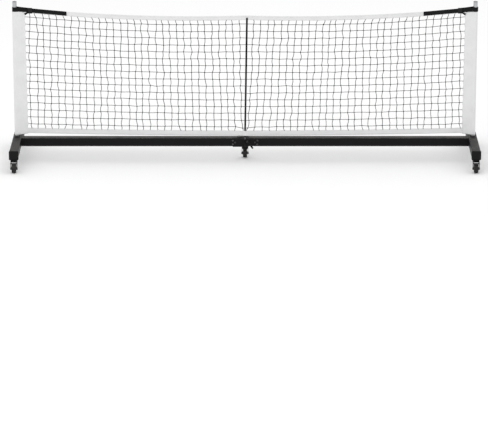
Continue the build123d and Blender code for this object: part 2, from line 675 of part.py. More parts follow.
for side, sign in SIDES:
    net_plane = Plane(origin=(0, 0, 0), x_dir=(sign, 0, 0), z_dir=(0, -sign, 0))

    with BuildPart() as net_panel:
        with BuildSketch(net_plane) as columns:
            for column in range(MESH_COLUMNS):
                x = FIRST_COLUMN + column * MESH_PITCH
                low = foot_tape_bottom(x) + FOOT_TAPE_HEIGHT + NET_FIT
                high = tape_top(x) - TAPE_HEIGHT - NET_FIT
                with Locations((x, (low + high) / 2)):
                    Rectangle(TWINE, high - low)
        with BuildSketch(net_plane) as rows:
            for row in range(MESH_ROWS):
                curved_strip(
                    ROW_START[side],
                    PANEL_END,
                    lambda x: row_height(row, x) - TWINE / 2,
                    lambda x: row_height(row, x) + TWINE / 2,
                )
        extrude(amount=TWINE / 2, both=True)
    save(net_panel, f"net_panel_{side}")

    with BuildPart() as top_tape:
        with BuildSketch(net_plane):
            curved_strip(TAPE_START[side], PANEL_END, lambda x: tape_top(x) - TAPE_HEIGHT, tape_top)
        extrude(amount=TAPE_THICKNESS / 2, both=True)
    save(top_tape, f"top_tape_{side}")

    with BuildPart() as bottom_tape:
        with BuildSketch(net_plane):
            curved_strip(
                ROD_FOOT_RADIUS + 1.5,
                PANEL_END,
                foot_tape_bottom,
                lambda x: foot_tape_bottom(x) + FOOT_TAPE_HEIGHT,
            )
        extrude(amount=TAPE_THICKNESS / 2, both=True)
    save(bottom_tape, f"bottom_tape_{side}")

    with BuildPart() as side_tape:
        with BuildSketch(Plane.XY.offset(SIDE_TAPE_BOTTOM)):
            with Locations((sign * POST_X, 0)):
                Circle(SLEEVE_RADIUS)
            with Locations((sign * (POST_X + SIDE_TAPE_INNER) / 2, 0)):
                Rectangle(POST_X - SIDE_TAPE_INNER, TAPE_THICKNESS + 1)
            with Locations((sign * POST_X, 0)):
                Circle(SLEEVE_BORE, mode=Mode.SUBTRACT)
        extrude(amount=SIDE_TAPE_TOP - SIDE_TAPE_BOTTOM)
    save(side_tape, f"side_tape_{side}")

    with BuildPart() as tension_strap:
        with BuildSketch(Plane.XY.offset(POST_NET_HEIGHT - STRAP_WIDTH)):
            with Locations((sign * POST_X, 0)):
                Circle(SLEEVE_RADIUS + 0.6)
                Circle(SLEEVE_BORE, mode=Mode.SUBTRACT)
        extrude(amount=STRAP_WIDTH)
        strap_end = POST_X - POST_RADIUS - 1
        with BuildSketch(net_plane.offset(-sign * STRAP_BACK)):
            with BuildLine():
                Polyline(
                    (STRAP_INNER, strap_top(STRAP_INNER)),
                    (strap_end, strap_top(strap_end)),
                    (strap_end, strap_top(strap_end) - STRAP_WIDTH),
                    (STRAP_INNER, strap_top(STRAP_INNER) - STRAP_WIDTH),
                    close=True,
                )
            make_face()
        extrude(amount=sign * STRAP_THICKNESS)
    save(tension_strap, f"tension_strap_{side}")

    with BuildPart() as strap_buckle:
        buckle_front = net_plane.offset(-sign * (STRAP_BACK - STRAP_THICKNESS - NET_FIT))
        with BuildSketch(buckle_front):
            with Locations((BUCKLE_X, strap_top(BUCKLE_X) - STRAP_WIDTH / 2)):
                RectangleRounded(BUCKLE_LENGTH, STRAP_WIDTH + BUCKLE_MARGIN, 3)
        extrude(amount=sign * BUCKLE_THICKNESS)
    save(strap_buckle, f"strap_buckle_{side}")
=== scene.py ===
"""Portable pickleball net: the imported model's looks, piece by piece in the order it is put together."""

import math
import random

import bmesh
import bpy
from mathutils import Matrix, Vector, noise


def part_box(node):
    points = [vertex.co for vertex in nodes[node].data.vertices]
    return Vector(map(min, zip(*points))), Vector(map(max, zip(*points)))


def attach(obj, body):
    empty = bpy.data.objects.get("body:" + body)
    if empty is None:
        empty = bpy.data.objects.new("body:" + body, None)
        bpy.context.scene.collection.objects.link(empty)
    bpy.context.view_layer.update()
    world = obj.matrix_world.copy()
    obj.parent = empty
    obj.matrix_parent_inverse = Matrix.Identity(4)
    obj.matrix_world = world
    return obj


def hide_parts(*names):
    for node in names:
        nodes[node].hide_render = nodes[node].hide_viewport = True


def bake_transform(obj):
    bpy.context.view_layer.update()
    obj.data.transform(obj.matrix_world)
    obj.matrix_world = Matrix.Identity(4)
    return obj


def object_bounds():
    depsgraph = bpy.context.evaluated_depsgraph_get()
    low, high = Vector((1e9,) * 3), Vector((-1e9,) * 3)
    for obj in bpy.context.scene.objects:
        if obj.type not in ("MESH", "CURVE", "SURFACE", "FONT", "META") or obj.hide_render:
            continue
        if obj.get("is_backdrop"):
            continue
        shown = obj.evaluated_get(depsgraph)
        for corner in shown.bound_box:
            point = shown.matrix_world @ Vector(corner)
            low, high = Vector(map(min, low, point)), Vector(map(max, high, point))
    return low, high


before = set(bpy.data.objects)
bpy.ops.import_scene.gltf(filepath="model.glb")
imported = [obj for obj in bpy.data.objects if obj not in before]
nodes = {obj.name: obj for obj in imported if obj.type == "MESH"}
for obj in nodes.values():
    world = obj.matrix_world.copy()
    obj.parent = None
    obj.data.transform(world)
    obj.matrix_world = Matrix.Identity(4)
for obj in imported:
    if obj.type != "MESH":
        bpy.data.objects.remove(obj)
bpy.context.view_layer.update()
scene = bpy.context.scene

# ---------------------------------------------------------------- studio
# A white floor, a pale sky and two big soft lamps: one overhead and one in front, so that the tops of the
# tubes shine a little and their front faces stay dark. The camera has a long lens and looks down gently.

WHITE_FLOOR = (0.93, 0.93, 0.93)
SKY_STRENGTH = 0.94
CAMERA_ELEVATION = math.radians(15.5)
CAMERA_DISTANCE = 17.4
CAMERA_TARGET = Vector((0, 0, 0.41))
CAMERA_LENS = 219.9
FRAME_DROP = -0.2563
FRAME_SIDE = -0.0021
VIEW_DEPTH = 200
FLOOR_HALF_SIZE = 60
LAMP_AIM = Vector((0, 0, 0.4))
OVERHEAD_LAMP = {"place": (0.5, 0.8, 6.5), "size": 7, "power": 65}
FRONT_LAMP = {"place": (-2.5, -7, 5.5), "size": 4, "power": 110}

camera_data = bpy.data.cameras.new("camera")
camera_data.lens = CAMERA_LENS
camera_data.shift_y = FRAME_DROP
camera_data.shift_x = FRAME_SIDE
camera_data.clip_end = VIEW_DEPTH
camera = bpy.data.objects.new("camera", camera_data)
scene.collection.objects.link(camera)
back = Vector((0, -math.cos(CAMERA_ELEVATION), math.sin(CAMERA_ELEVATION)))
camera.location = CAMERA_TARGET + back * CAMERA_DISTANCE
camera.rotation_euler = (-back).to_track_quat("-Z", "Y").to_euler()
scene.camera = camera

scene.view_settings.view_transform = "Standard"
world = bpy.data.worlds.new("studio_sky")
scene.world = world
world.use_nodes = True
sky = world.node_tree.nodes["Background"]
sky.inputs["Color"].default_value = (1, 1, 1, 1)
sky.inputs["Strength"].default_value = SKY_STRENGTH


def soft_lamp(name, place, size, power):
    """Add a square area lamp that faces the net."""
    lamp_data = bpy.data.lights.new(name, "AREA")
    lamp_data.size = size
    lamp_data.energy = power
    lamp = bpy.data.objects.new(name, lamp_data)
    scene.collection.objects.link(lamp)
    lamp.location = place
    lamp.rotation_euler = (LAMP_AIM - Vector(place)).to_track_quat("-Z", "Y").to_euler()


soft_lamp("overhead_lamp", **OVERHEAD_LAMP)
soft_lamp("front_lamp", **FRONT_LAMP)


def new_piece(name, shape_mesh, smooth=False):
    """Turn a bmesh into a finished object at the origin, with smooth or flat faces."""
    mesh = bpy.data.meshes.new(name)
    shape_mesh.to_mesh(mesh)
    shape_mesh.free()
    for polygon in mesh.polygons:
        polygon.use_smooth = smooth
    piece = bpy.data.objects.new(name, mesh)
    scene.collection.objects.link(piece)
    return piece


floor_mesh = bmesh.new()
bmesh.ops.create_grid(floor_mesh, x_segments=2, y_segments=2, size=FLOOR_HALF_SIZE)
floor = new_piece("studio_floor", floor_mesh)
floor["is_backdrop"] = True


def node_material(name, color, roughness, metallic=0.0, specular=0.5):
    """Start a Principled material and return it with its shader."""
    material = bpy.data.materials.new(name)
    material.use_nodes = True
    shader = material.node_tree.nodes["Principled BSDF"]
    shader.inputs["Base Color"].default_value = (*color, 1)
    shader.inputs["Roughness"].default_value = roughness
    shader.inputs["Metallic"].default_value = metallic
    shader.inputs["Specular IOR Level"].default_value = specular
    return material, shader


floor.data.materials.append(node_material("studio_white", WHITE_FLOOR, 0.9, specular=0.0)[0])

# ---------------------------------------------------------------- base bars, legs and brackets
# The base is 50 mm square steel tube, cut, drilled and powder coated black. The coat has a fine orange-peel
# skin, is a little thinner and shinier along the tube's corners, and has pale specks on its upper faces that
# are partly dust and partly painted light, which makes the lit tops brighter than the fronts.


def group_node(tree, group):
    """Place a shader node group in a material."""
    node = tree.nodes.new("ShaderNodeGroup")
    node.node_tree = group
    return node


def make_group(name, inputs, outputs):
    """Start a shader node group with float, colour and vector sockets."""
    kinds = {"f": "NodeSocketFloat", "c": "NodeSocketColor", "v": "NodeSocketVector"}
    group = bpy.data.node_groups.new(name, "ShaderNodeTree")
    for label, kind, value in inputs:
        socket = group.interface.new_socket(name=label, in_out="INPUT", socket_type=kinds[kind])
        if value is not None:
            socket.default_value = value
    for label, kind in outputs:
        group.interface.new_socket(name=label, in_out="OUTPUT", socket_type=kinds[kind])
    return group, group.nodes.new("NodeGroupInput"), group.nodes.new("NodeGroupOutput")


def noise_node(tree, scale, detail, source=None):
    """Add a noise texture, on Object coordinates unless a source socket is given."""
    texture = tree.nodes.new("ShaderNodeTexNoise")
    texture.inputs["Scale"].default_value = scale
    texture.inputs["Detail"].default_value = detail
    if source is None:
        source = tree.nodes.new("ShaderNodeTexCoord").outputs["Object"]
    tree.links.new(source, texture.inputs["Vector"])
    return texture


def math_node(tree, operation, first, second=0.0, third=None, clamp=False):
    """Add a math node whose inputs are sockets or numbers."""
    node = tree.nodes.new("ShaderNodeMath")
    node.operation = operation
    node.use_clamp = clamp
    for slot, value in zip(node.inputs, (first, second, third)):
        if isinstance(value, bpy.types.NodeSocket):
            tree.links.new(value, slot)
        elif value is not None:
            slot.default_value = value
    return node.outputs["Value"]


def ramp_node(tree, factor, low, high, start=0.0, end=1.0):
    """Map a factor between two values."""
    node = tree.nodes.new("ShaderNodeMapRange")
    tree.links.new(factor, node.inputs["Value"])
    for label, value in (("From Min", start), ("From Max", end), ("To Min", low), ("To Max", high)):
        node.inputs[label].default_value = value
    return node.outputs["Result"]


def mix_colors(tree, factor, first, second):
    """Mix two colours, each a tuple or a socket, by a factor socket."""
    node = tree.nodes.new("ShaderNodeMix")
    node.data_type = "RGBA"
    tree.links.new(factor, node.inputs["Factor"])
    for slot, value in ((node.inputs[6], first), (node.inputs[7], second)):
        if isinstance(value, bpy.types.NodeSocket):
            tree.links.new(value, slot)
        else:
            slot.default_value = (*value, 1)
    return node.outputs[2]


def bump_node(tree, height, strength, distance):
    """Add a bump node for a height socket."""
    node = tree.nodes.new("ShaderNodeBump")
    node.inputs["Strength"].default_value = strength
    node.inputs["Distance"].default_value = distance
    tree.links.new(height, node.inputs["Height"])
    return node.outputs["Normal"]


SHARP_EDGE = (0.8, 0.995)
WORN_PATCHES = (0.42, 0.66)
UPWARD_FACES = (0.2, 1.0)
DUST_SPECKS = (0.4, 0.75)
# Pale colour of the specks on upward faces: dust, and also painted light on the tops.
DUST_COLOR = (0.32, 0.31, 0.29)
PATCHY_SKIN = (0.3, 0.7)
WORN_POLISH = -0.12
SKIN_DEPTH = 0.0003

edge_wear, wear_in, wear_out = make_group(
    "edge_wear", [("Radius", "f", 0.002), ("Patchiness", "f", 60.0)], [("Wear", "f")])
rounded = edge_wear.nodes.new("ShaderNodeBevel")
rounded.samples = 4
edge_wear.links.new(wear_in.outputs["Radius"], rounded.inputs["Radius"])
true_face = edge_wear.nodes.new("ShaderNodeNewGeometry")
agree = edge_wear.nodes.new("ShaderNodeVectorMath")
agree.operation = "DOT_PRODUCT"
edge_wear.links.new(rounded.outputs["Normal"], agree.inputs[0])
edge_wear.links.new(true_face.outputs["True Normal"], agree.inputs[1])
near_edge = ramp_node(edge_wear, agree.outputs["Value"], 1.0, 0.0, *SHARP_EDGE)
patches = noise_node(edge_wear, 60, 4)
edge_wear.links.new(wear_in.outputs["Patchiness"], patches.inputs["Scale"])
patchy = ramp_node(edge_wear, patches.outputs["Fac"], 0, 1, *WORN_PATCHES)
worn = math_node(edge_wear, "MULTIPLY", near_edge, patchy)
edge_wear.links.new(worn, wear_out.inputs["Wear"])

# Pale specks on upward faces are partly dust and partly painted light. They make the tops of the dark parts
# brighter than their fronts, as light from above would.
dust, dust_in, dust_out = make_group("dust", [("Amount", "f", 0.3)], [("Dust", "f")])
face = dust.nodes.new("ShaderNodeNewGeometry")
split = dust.nodes.new("ShaderNodeSeparateXYZ")
dust.links.new(face.outputs["Normal"], split.inputs["Vector"])
upward = ramp_node(dust, split.outputs["Z"], 0, 1, *UPWARD_FACES)
specks = noise_node(dust, 220, 6)
clouds = noise_node(dust, 9, 3)
speckled = ramp_node(dust, specks.outputs["Fac"], 0, 1, *DUST_SPECKS)
scatter = math_node(dust, "MULTIPLY", speckled, clouds.outputs["Fac"])
lying = math_node(dust, "MULTIPLY", upward, scatter)
settled = math_node(dust, "MULTIPLY", lying, dust_in.outputs["Amount"], clamp=True)
dust.links.new(settled, dust_out.inputs["Dust"])

skin, skin_in, skin_out = make_group(
    "skin", [("Grain", "f", 700.0), ("Mottle", "f", 14.0)], [("Height", "f"), ("Tone", "f")])
grain = noise_node(skin, 700, 3)
skin.links.new(skin_in.outputs["Grain"], grain.inputs["Scale"])
mottle = noise_node(skin, 14, 4)
skin.links.new(skin_in.outputs["Mottle"], mottle.inputs["Scale"])
skin.links.new(grain.outputs["Fac"], skin_out.inputs["Height"])
skin.links.new(mottle.outputs["Fac"], skin_out.inputs["Tone"])


def coated(name, dark, light, worn_color, smooth, rough, grain_scale, bump, dust_amount, specular,
           metallic=0.0):
    """A painted, plated or moulded hard surface from the shared skin, dust-and-painted-top-light and
    edge-wear effects.
    """
    material, shader = node_material(name, dark, rough, metallic, specular)
    tree = material.node_tree
    skin_node = group_node(tree, skin)
    skin_node.inputs["Grain"].default_value = grain_scale
    wear_node = group_node(tree, edge_wear)
    dust_node = group_node(tree, dust)
    dust_node.inputs["Amount"].default_value = dust_amount
    body_color = mix_colors(tree, skin_node.outputs["Tone"], dark, light)
    worn_body = mix_colors(tree, wear_node.outputs["Wear"], body_color, worn_color)
    # The pale specks on upward faces are mixed in here: dust, and painted top light.
    dusty_body = mix_colors(tree, dust_node.outputs["Dust"], worn_body, DUST_COLOR)
    tree.links.new(dusty_body, shader.inputs["Base Color"])
    polish = ramp_node(tree, skin_node.outputs["Tone"], smooth, rough, *PATCHY_SKIN)
    polish = math_node(tree, "MULTIPLY_ADD", wear_node.outputs["Wear"], WORN_POLISH, polish)
    dulled = math_node(tree, "ADD", polish, dust_node.outputs["Dust"], clamp=True)
    tree.links.new(dulled, shader.inputs["Roughness"])
    tree.links.new(bump_node(tree, skin_node.outputs["Height"], bump, SKIN_DEPTH), shader.inputs["Normal"])
    return material


def finish_node(names, material):
    """Give carried-over CAD nodes their finish."""
    for name in names:
        nodes[name].data.materials.clear()
        nodes[name].data.materials.append(material)


# The high dust amount here paints the tube tops brighter than their fronts. This is painted top light as well
# as dust.
powder_coat = coated(
    "powder_coat", dark=(0.003, 0.003, 0.0034), light=(0.006, 0.006, 0.0065), worn_color=(0.05, 0.05, 0.05),
    smooth=0.36, rough=0.5, grain_scale=900, bump=0.25, dust_amount=0.85, specular=0.12)
SIDES = (("left", -1), ("right", 1))
BASE_PARTS = ("base_bar", "leg", "corner_bracket")
finish_node([f"{side}_{part}" for side, _ in SIDES for part in BASE_PARTS], powder_coat)

# ---------------------------------------------------------------- leg end caps
# Moulded black polyethylene plugs with a fine matt grain. Each is pressed into the cut end of a leg, and its
# lip covers the tube's edge.

cap_plastic = coated(
    "cap_plastic", dark=(0.004, 0.004, 0.0045), light=(0.008, 0.008, 0.0085), worn_color=(0.03, 0.03, 0.03),
    smooth=0.5, rough=0.66, grain_scale=1600, bump=0.35, dust_amount=0.6, specular=0.14)
finish_node([f"{side}_leg_caps" for side, _ in SIDES], cap_plastic)

# ---------------------------------------------------------------- hinge, lock lever and bolts
# Two folded steel leaves with a pressed-in pin join the halves. The cam lever beside them is a coated
# pressing. Bolts and pins are zinc plated and then blackened.
black_zinc = coated(
    "black_zinc", dark=(0.03, 0.03, 0.032), light=(0.055, 0.053, 0.05), worn_color=(0.3, 0.29, 0.28),
    smooth=0.3, rough=0.46, grain_scale=1200, bump=0.12, dust_amount=0.3, specular=0.4, metallic=0.8)
finish_node(["hinge_leaf_left", "hinge_leaf_right", "lock_lever"], powder_coat)
finish_node(["hinge_pin", "lever_pivot", "left_bolts", "right_bolts"], black_zinc)

# ---------------------------------------------------------------- casters
# Pressed-steel swivel forks hold moulded wheels: a black rubber tread on a grey nylon core with a recessed
# web. The wheels turn on plated bolts, and the four end casters carry a moulded brake pedal.

CASTERS = ("front_left", "rear_left", "centre", "front_right", "rear_right")
finish_node([f"{name}_fork" for name in CASTERS] + ["centre_caster_plate"], powder_coat)
finish_node([f"{name}_axle" for name in CASTERS] + [f"{side}_caster_stems" for side, _ in SIDES], black_zinc)
tread_rubber = coated(
    "tread_rubber", dark=(0.012, 0.012, 0.012), light=(0.022, 0.021, 0.02), worn_color=(0.05, 0.048, 0.045),
    smooth=0.7, rough=0.88, grain_scale=1100, bump=0.5, dust_amount=0.9, specular=0.25)
core_nylon = coated(
    "core_nylon", dark=(0.05, 0.05, 0.052), light=(0.075, 0.075, 0.078), worn_color=(0.12, 0.12, 0.12),
    smooth=0.4, rough=0.55, grain_scale=1500, bump=0.2, dust_amount=0.4, specular=0.4)
pedal_plastic = coated(
    "pedal_plastic", dark=(0.02, 0.02, 0.021), light=(0.032, 0.032, 0.033), worn_color=(0.08, 0.08, 0.08),
    smooth=0.42, rough=0.58, grain_scale=1500, bump=0.3, dust_amount=0.5, specular=0.4)
WHEEL_STEPS = 48
TREAD_PROFILE = ((-8.5, 18), (-11, 18.6), (-12, 20), (-12, 23), (-10.6, 25.2), (-8, 26), (0, 26))
CORE_PROFILE = ((-15.4, 4.1), (-15.4, 8), (-14.4, 9), (-8, 9.6), (-4.5, 11), (-4.5, 15.5), (-7.5, 16.6),
                (-8.5, 18))
MILLIMETRE = 0.001
WELD = 1e-5


def turned(profile, axle, name):
    """Spin a profile of (across, radius), mirrored about the wheel's middle, into a closed ring."""
    mesh = bmesh.new()
    outline = list(profile) + [(-across, radius) for across, radius in reversed(profile) if across != 0]
    ring = [mesh.verts.new((axle.x + a * MILLIMETRE, axle.y, axle.z + r * MILLIMETRE)) for a, r in outline]
    for first, second in zip(ring, ring[1:] + ring[:1]):
        mesh.edges.new((first, second))
    bmesh.ops.spin(mesh, geom=mesh.verts[:] + mesh.edges[:], cent=axle, axis=(1, 0, 0),
                   angle=2 * math.pi, steps=WHEEL_STEPS, use_merge=True)
    bmesh.ops.remove_doubles(mesh, verts=mesh.verts, dist=WELD)
    bmesh.ops.recalc_face_normals(mesh, faces=mesh.faces)
    return new_piece(name, mesh, smooth=True)


for name in CASTERS:
    low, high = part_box(f"{name}_wheel")
    axle = (low + high) / 2
    tread = turned(TREAD_PROFILE, axle, f"{name}_wheel_tread")
    tread.data.materials.append(tread_rubber)
    core = turned(CORE_PROFILE, axle, f"{name}_wheel_core")
    core.data.materials.append(core_nylon)
    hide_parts(f"{name}_wheel")
    for piece in (tread, core):
        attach(piece, f"{name}_wheel")
    if name != "centre":
        finish_node([f"{name}_brake_pedal"], pedal_plastic)

# ---------------------------------------------------------------- posts, collars and caps
# Drawn steel tube, zinc plated and left bare, so it is grey with faint lengthways draw marks. Each post
# stands in a moulded black collar in the leg and is closed by a plug at the top.
DRAW_MARK_SCALE = (900, 900, 12)
DARK_ZINC = (0.36, 0.37, 0.38)
LIGHT_ZINC = (0.62, 0.63, 0.64)

post_zinc, post_shader = node_material("post_zinc", (0.5, 0.51, 0.52), 0.34, metallic=1.0)
tree = post_zinc.node_tree
post_place = tree.nodes.new("ShaderNodeTexCoord")
stretch = tree.nodes.new("ShaderNodeMapping")
stretch.inputs["Scale"].default_value = DRAW_MARK_SCALE
tree.links.new(post_place.outputs["Object"], stretch.inputs["Vector"])
draw_marks = noise_node(tree, 1.0, 3, stretch.outputs["Vector"])
spangle = noise_node(tree, 70, 3)
zinc_bloom = mix_colors(tree, spangle.outputs["Fac"], DARK_ZINC, LIGHT_ZINC)
tree.links.new(zinc_bloom, post_shader.inputs["Base Color"])
tree.links.new(ramp_node(tree, draw_marks.outputs["Fac"], 0.26, 0.46), post_shader.inputs["Roughness"])
tree.links.new(bump_node(tree, draw_marks.outputs["Fac"], 0.15, 0.0002), post_shader.inputs["Normal"])
finish_node(["left_post", "right_post"], post_zinc)
finish_node(["left_post_collar", "right_post_collar"], pedal_plastic)
grey_plug = coated(
    "grey_plug", dark=(0.2, 0.2, 0.21), light=(0.27, 0.27, 0.28), worn_color=(0.35, 0.35, 0.35),
    smooth=0.45, rough=0.6, grain_scale=1500, bump=0.2, dust_amount=0.4, specular=0.4)
finish_node(["left_post_cap", "right_post_cap"], grey_plug)

# ---------------------------------------------------------------- centre rod
# A slim coated steel tube. It stands in a foot that is bolted to the left bar, and its head holds up the
# middle of the top tape.
finish_node(["centre_rod", "centre_rod_foot"], powder_coat)

# ---------------------------------------------------------------- net
# Knotted black twine: lines pulled straight along the net, and lines that hang from the top tape to the
# bottom one and wave a little between their knots. It is one net, spanning both halves.

MESH_ROWS = 16
MESH_COLUMNS = 31
LEFT_COLUMNS = (-0.025, -1.252)
RIGHT_COLUMNS = (0.0365, 1.252)
FIRST_ROW_DROP = 0.0515
TAIL_LEAN = 0.008
ACROSS_RADIUS = 0.0015
HANGING_RADIUS = 0.0018
SIDE_TAPE_INNER = 1.272
ROD_FOOT = 0.133
ROD_LEAN = math.tan(math.radians(0.9))
TAPE_SAG_HEIGHT = 0.86
TAPE_SAG_X = 0.298
TAPE_SAG_CURVE = 0.05
FOOT_TAPE_LOW = 0.139
FOOT_TAPE_CURVE = 0.0104
LAST_ROW_LOW = 0.192
LAST_ROW_CURVE = 0.012
ROD_DIP = 0.007
ROD_DIP_REACH = 0.04
LEAN_RIGHT = 0.015
LEAN_LEFT = -0.007
LEAN_REACH = 0.6
ROD_BULGE = 0.0078
ROD_BULGE_REACH = 0.03
LINE_SWAY = 0.002
KNOT_SPREAD_X = 0.0022
KNOT_SPREAD_Z = 0.0009
END_SPREAD_TOP = 0.0025
END_SPREAD_FOOT = 0.005
END_IN_TOP_TAPE = 0.024
END_IN_FOOT_TAPE = 0.027
END_IN_SIDE_TAPE = 0.003
WAVE_SIZES = (0.0003, 0.0034)
WAVE_PLACES = (0.3, 0.5, 0.7)
WAVE_TURN_CHANCE = 0.6
WAVE_DEPTH = 0.0006
KNOT_TILT = 0.7


def tape_top(x):
    """Height of the top tape's upper edge."""
    return TAPE_SAG_HEIGHT + TAPE_SAG_CURVE * (abs(x) - TAPE_SAG_X) ** 2


def foot_tape_bottom(x):
    """Height of the bottom tape's lower edge."""
    return FOOT_TAPE_LOW + FOOT_TAPE_CURVE * x * x


def row_height(row, x):
    """Height of one line of the net; the two lowest dip where they pass the centre rod."""
    first = tape_top(x) - FIRST_ROW_DROP
    last = LAST_ROW_LOW + LAST_ROW_CURVE * x * x
    dip = ROD_DIP * math.exp(-((x / ROD_DIP_REACH) ** 2)) * max(0, row - MESH_ROWS + 3) / 2
    return first + (last - first) * row / (MESH_ROWS - 1) - dip


def column_lean(x):
    """How far the hanging line at x leans out at its top and in at its foot, most near the centre rod."""
    return (LEAN_RIGHT if x > 0 else LEAN_LEFT) * math.exp(-((x / LEAN_REACH) ** 2))


def net_depth(x, z):
    """How far forward the net stands to pass in front of the centre rod."""
    rod = (z - ROD_FOOT) * ROD_LEAN
    return -ROD_BULGE * math.exp(-(((x - rod) / ROD_BULGE_REACH) ** 2))


random.seed(36)
columns = []
for nearest, farthest in (LEFT_COLUMNS, RIGHT_COLUMNS):
    columns += [nearest + (farthest - nearest) * step / (MESH_COLUMNS - 1) for step in range(MESH_COLUMNS)]
columns.sort()
knots = {}
for column, x in enumerate(columns):
    sway = random.uniform(-LINE_SWAY, LINE_SWAY)
    for row in range(MESH_ROWS):
        lean = column_lean(x) * (1 - 2 * row / (MESH_ROWS - 1))
        knot_x = x + lean + sway + random.gauss(0, KNOT_SPREAD_X)
        knot_z = row_height(row, x) + random.gauss(0, KNOT_SPREAD_Z)
        knots[column, row] = Vector((knot_x, net_depth(knot_x, knot_z), knot_z))

twine_curve = bpy.data.curves.new("net_lines", "CURVE")
twine_curve.dimensions = "3D"
twine_curve.bevel_depth = HANGING_RADIUS
twine_curve.bevel_resolution = 1
twine_curve.resolution_u = 2
twine_curve.use_fill_caps = True


def string(points, radius):
    """Add one line of twine through some points."""
    spline = twine_curve.splines.new("BEZIER")
    spline.bezier_points.add(len(points) - 1)
    for knot, point in zip(spline.bezier_points, points):
        knot.co = point
        knot.radius = radius / HANGING_RADIUS
        knot.handle_left_type = "AUTO"
        knot.handle_right_type = "AUTO"


for row in range(MESH_ROWS):
    line = [knots[column, row].copy() for column in range(len(columns))]
    for end, side in ((line[0], -1), (line[-1], 1)):
        anchor = Vector((side * (SIDE_TAPE_INNER + END_IN_SIDE_TAPE), 0, row_height(row, SIDE_TAPE_INNER)))
        line.insert(0 if side < 0 else len(line), anchor)
    string(line, ACROSS_RADIUS)

for column, x in enumerate(columns):
    tail_lean = TAIL_LEAN * max(-1, min(1, x / 0.5))
    top_x = knots[column, 0].x + tail_lean + random.gauss(0, END_SPREAD_TOP)
    top = Vector((top_x, 0, tape_top(x) - END_IN_TOP_TAPE))
    foot_x = knots[column, MESH_ROWS - 1].x + random.gauss(0, END_SPREAD_FOOT)
    bottom = Vector((foot_x, 0, foot_tape_bottom(x) + END_IN_FOOT_TAPE))
    line = [top] + [knots[column, row] for row in range(MESH_ROWS)] + [bottom]
    wave = random.choice((-1, 1))
    points = [line[0]]
    for upper, lower in zip(line, line[1:]):
        wave = -wave if random.random() < WAVE_TURN_CHANCE else wave
        swell = wave * random.uniform(*WAVE_SIZES)
        share = random.choice(WAVE_PLACES)
        between = upper.lerp(lower, share) + Vector((swell, random.gauss(0, WAVE_DEPTH), 0))
        points += [between, lower]
    string(points, HANGING_RADIUS)

lines_object = bpy.data.objects.new("net_lines", twine_curve)
scene.collection.objects.link(lines_object)
line_mesh = bpy.data.meshes.new_from_object(lines_object.evaluated_get(bpy.context.evaluated_depsgraph_get()))
net_mesh = bmesh.new()
net_mesh.from_mesh(line_mesh)
bpy.data.objects.remove(lines_object)
KNOT_HALF_SIZE = (0.0039, 0.003, 0.0035, 1)
for row in range(MESH_ROWS):
    row_mesh = bmesh.new()
    for column in range(len(columns)):
        tilt = Matrix.Rotation(random.uniform(-KNOT_TILT, KNOT_TILT), 4, "Y")
        spot = Matrix.Translation(knots[column, row]) @ tilt @ Matrix.Diagonal(KNOT_HALF_SIZE)
        bmesh.ops.create_uvsphere(row_mesh, u_segments=8, v_segments=5, radius=1, matrix=spot)
    row_knots = bpy.data.meshes.new("row_knots")
    row_mesh.to_mesh(row_knots)
    row_mesh.free()
    net_mesh.from_mesh(row_knots)
net = new_piece("net", net_mesh, smooth=True)

twine, twine_shader = node_material("braided_twine", (0.012, 0.012, 0.013), 0.8, specular=0.2)
tree = twine.node_tree
fibre = noise_node(tree, 900, 4)
tree.links.new(mix_colors(tree, fibre.outputs["Fac"], (0.006, 0.006, 0.007), (0.03, 0.03, 0.032)),
               twine_shader.inputs["Base Color"])
tree.links.new(ramp_node(tree, fibre.outputs["Fac"], 0.7, 0.92), twine_shader.inputs["Roughness"])
tree.links.new(bump_node(tree, fibre.outputs["Fac"], 0.6, 0.0004), twine_shader.inputs["Normal"])
net.data.materials.append(twine)
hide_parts("net_panel_left", "net_panel_right")
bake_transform(net)

# ---------------------------------------------------------------- top and bottom tapes
# White vinyl-coated polyester, folded over the net's edge and sewn along both edges. The top tape has a cord
# in its fold, so its upper edge is round and fat. Both run the net's whole length.

THREAD_DEPTH = 0.0004
THREAD_RIDGE = 0.5
THREAD_SHADE = 0.08
SMOOTHER = 0.08
ROUGHER = 0.06

weave, weave_in, weave_out = make_group(
    "weave", [("Pitch", "f", 0.0011)], [("Height", "f"), ("Shade", "f")])
flat_place = weave.nodes.new("ShaderNodeUVMap")
flat_split = weave.nodes.new("ShaderNodeSeparateXYZ")
weave.links.new(flat_place.outputs["UV"], flat_split.inputs["Vector"])
turns = math_node(weave, "DIVIDE", math.pi, weave_in.outputs["Pitch"])
warp = math_node(weave, "SINE", math_node(weave, "MULTIPLY", flat_split.outputs["X"], turns))
weft = math_node(weave, "SINE", math_node(weave, "MULTIPLY", flat_split.outputs["Y"], turns))
crossing = math_node(weave, "MULTIPLY", warp, weft)
slub = noise_node(weave, 180, 4, flat_place.outputs["UV"])
ridges = math_node(weave, "MULTIPLY_ADD", crossing, THREAD_RIDGE, slub.outputs["Fac"])
weave.links.new(ridges, weave_out.inputs["Height"])
crumple = noise_node(weave, 16, 5, flat_place.outputs["UV"])
shading = math_node(weave, "MULTIPLY_ADD", crossing, THREAD_SHADE, crumple.outputs["Fac"])
weave.links.new(shading, weave_out.inputs["Shade"])


def cloth(name, dark, light, pitch, bump, roughness, specular):
    """A woven cloth whose threads follow the piece's own UV map, in metres."""
    material, shader = node_material(name, light, roughness, specular=specular)
    cloth_tree = material.node_tree
    threads = group_node(cloth_tree, weave)
    threads.inputs["Pitch"].default_value = pitch
    shade = threads.outputs["Shade"]
    cloth_tree.links.new(mix_colors(cloth_tree, shade, dark, light), shader.inputs["Base Color"])
    polish = ramp_node(cloth_tree, shade, roughness - SMOOTHER, roughness + ROUGHER)
    cloth_tree.links.new(polish, shader.inputs["Roughness"])
    relief = bump_node(cloth_tree, threads.outputs["Height"], bump, THREAD_DEPTH)
    cloth_tree.links.new(relief, shader.inputs["Normal"])
    return material


